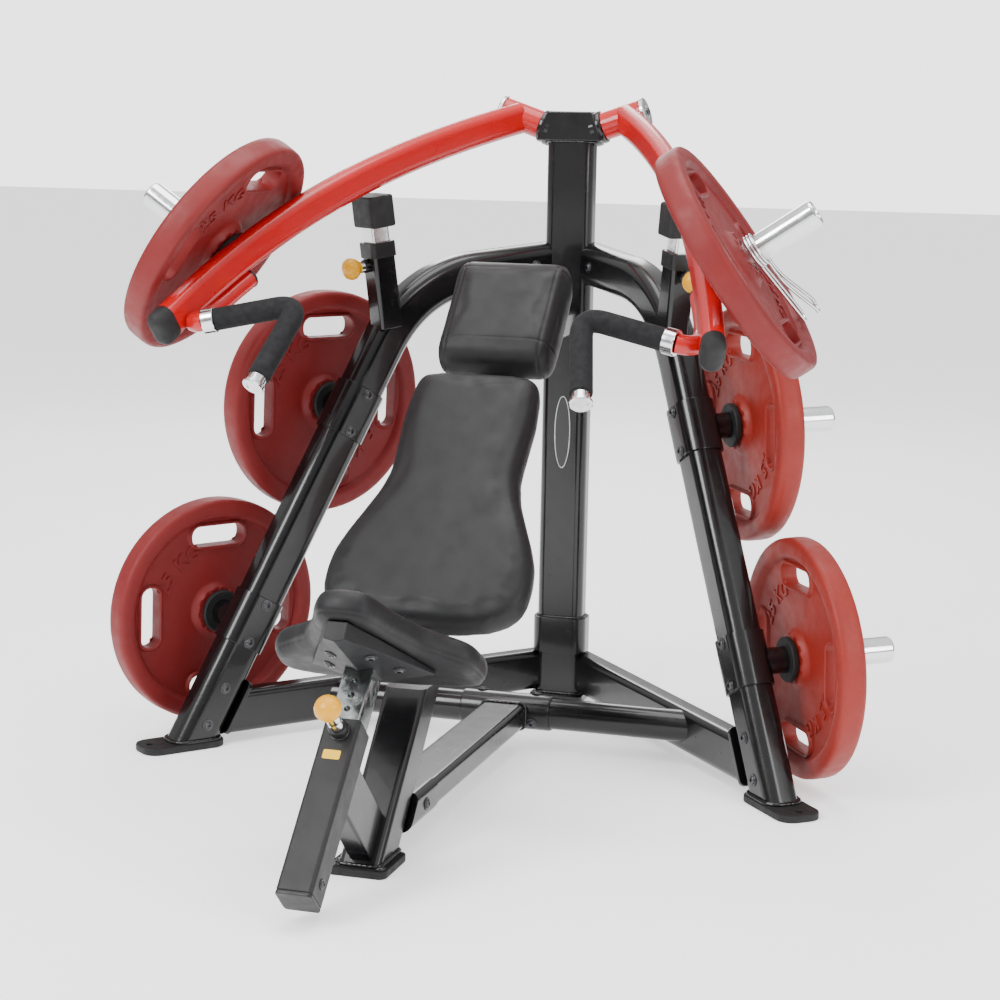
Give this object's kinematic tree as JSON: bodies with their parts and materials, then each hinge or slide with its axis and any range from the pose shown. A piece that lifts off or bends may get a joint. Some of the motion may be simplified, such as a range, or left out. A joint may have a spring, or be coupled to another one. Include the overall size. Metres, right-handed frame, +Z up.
{
  "type": "chest press machine",
  "caption": "Plate-loaded incline chest press with swinging red press arms, angled back and head pads, sliding seat, black tube frame and coated weight plates on horns.",
  "frame": {"origin": "centre of the mast's foot plate, on the floor", "axes": "+Z up; the user sits facing -Y, so the user's left is +X"},
  "size_m": [1.5074, 1.6176, 1.2705],
  "materials": {
    "black": "gloss black powder coat",
    "red": "gloss red powder coat",
    "chrome": "polished",
    "coating": "red rubber coating over cast iron",
    "vinyl": "charcoal satin vinyl over foam and board",
    "foam": "closed-cell foam sleeve",
    "rubber": "black moulded rubber",
    "plastic": "black moulded cap",
    "amber": "amber ball knob",
    "charcoal": "charcoal satin coat"
  },
  "bodies": {
    "frame": {"mast": "black", "mast_head": "black", "cross_tube": "black", "centre_beam": "black", "front_upright": "black", "front_foot": "rubber", "guide_tube": "charcoal", "guide_end_cap": "plastic", "guide_strut": "black", "back_pad": "vinyl", "head_pad": "vinyl", "pad_spine": "black", "left_base_beam": "black", "left_leg": "black", "left_leg_foot": "rubber", "left_pivot_disc": "chrome", "left_stop_tube": "black", "left_mid_storage_bracket": "black", "left_low_storage_bracket": "black", "left_mid_storage_horn": "chrome", "left_low_storage_horn": "chrome", "right_base_beam": "black", "right_leg": "black", "right_leg_foot": "rubber", "right_pivot_disc": "chrome", "right_stop_tube": "black", "right_mid_storage_bracket": "black", "right_low_storage_bracket": "black", "right_mid_storage_horn": "chrome", "right_low_storage_horn": "chrome"},
    "left_arm": {"left_arm": "red", "left_arm_end_cap": "rubber", "left_handle_tube": "red", "left_grip_core": "chrome", "left_grip": "foam", "left_arm_horn": "chrome"},
    "left_arm_plate": {"left_arm_plate": "coating"},
    "left_spring_clip": {"left_spring_clip": "chrome"},
    "left_stop": {"left_stop_slider": "chrome", "left_stop_bumper": "rubber"},
    "left_stop_pin": {"left_stop_pin": "amber"},
    "left_mid_storage_plate": {"left_mid_storage_plate": "coating"},
    "left_low_storage_plate": {"left_low_storage_plate": "coating"},
    "right_arm": {"right_arm": "red", "right_arm_end_cap": "rubber", "right_handle_tube": "red", "right_grip_core": "chrome", "right_grip": "foam", "right_arm_horn": "chrome"},
    "right_arm_plate": {"right_arm_plate": "coating"},
    "right_spring_clip": {"right_spring_clip": "chrome"},
    "right_stop": {"right_stop_slider": "chrome", "right_stop_bumper": "rubber"},
    "right_stop_pin": {"right_stop_pin": "amber"},
    "right_mid_storage_plate": {"right_mid_storage_plate": "coating"},
    "right_low_storage_plate": {"right_low_storage_plate": "coating"},
    "seat": {"seat_pad": "vinyl", "seat_bracket": "black", "seat_post": "chrome"},
    "seat_pin": {"seat_pin": "amber"}
  },
  "joints": [
    {"name": "left_arm_swing", "type": "hinge", "parent": "frame", "child": "left_arm", "pos_m": [0.11, 0, 1.22596], "axis": [-0.9455, 0, -0.3256], "range_deg": [0, 38]},
    {"name": "left_arm_plate_spin", "type": "hinge", "parent": "left_arm", "child": "left_arm_plate", "pos_m": [0.4874, -0.7082, 0.984], "axis": [0.8268, 0.042, 0.5609], "continuous": true},
    {"name": "left_clip_slide", "type": "slide", "parent": "left_arm", "child": "left_spring_clip", "axis": [0.8268, 0.042, 0.5609], "range_m": [0, 0.1]},
    {"name": "left_stop_slide", "type": "slide", "parent": "frame", "child": "left_stop", "axis": [0.0947, -0.1137, 0.989], "range_m": [-0.03, 0]},
    {"name": "left_stop_pin_pull", "type": "slide", "parent": "frame", "child": "left_stop_pin", "axis": [0.6331, -0.7598, -0.148], "range_m": [0, 0.012], "stiffness_N_per_m": 600},
    {"name": "left_mid_plate_slide", "type": "slide", "parent": "frame", "child": "left_mid_storage_plate", "axis": [0.8281, 0.5591, 0.04], "range_m": [0, 0.13]},
    {"name": "left_low_plate_slide", "type": "slide", "parent": "frame", "child": "left_low_storage_plate", "axis": [0.8281, 0.5591, 0.04], "range_m": [0, 0.13]},
    {"name": "right_arm_swing", "type": "hinge", "parent": "frame", "child": "right_arm", "pos_m": [-0.11, 0, 1.22596], "axis": [-0.9455, 0, 0.3256], "range_deg": [0, 38]},
    {"name": "right_arm_plate_spin", "type": "hinge", "parent": "right_arm", "child": "right_arm_plate", "pos_m": [-0.4874, -0.7082, 0.984], "axis": [-0.8268, 0.042, 0.5609], "continuous": true},
    {"name": "right_clip_slide", "type": "slide", "parent": "right_arm", "child": "right_spring_clip", "axis": [-0.8268, 0.042, 0.5609], "range_m": [0, 0.1]},
    {"name": "right_stop_slide", "type": "slide", "parent": "frame", "child": "right_stop", "axis": [-0.0947, -0.1137, 0.989], "range_m": [-0.03, 0]},
    {"name": "right_stop_pin_pull", "type": "slide", "parent": "frame", "child": "right_stop_pin", "axis": [-0.6331, -0.7598, -0.148], "range_m": [0, 0.012], "stiffness_N_per_m": 600},
    {"name": "right_mid_plate_slide", "type": "slide", "parent": "frame", "child": "right_mid_storage_plate", "axis": [-0.8281, 0.5591, 0.04], "range_m": [0, 0.13]},
    {"name": "right_low_plate_slide", "type": "slide", "parent": "frame", "child": "right_low_storage_plate", "axis": [-0.8281, 0.5591, 0.04], "range_m": [0, 0.13]},
    {"name": "seat_slide", "type": "slide", "parent": "frame", "child": "seat", "axis": [0, 0.694, 0.72], "range_m": [-0.05, 0.1]},
    {"name": "seat_pin_pull", "type": "slide", "parent": "frame", "child": "seat_pin", "axis": [0, -0.72, 0.694], "range_m": [0, 0.012], "stiffness_N_per_m": 600}
  ]
}
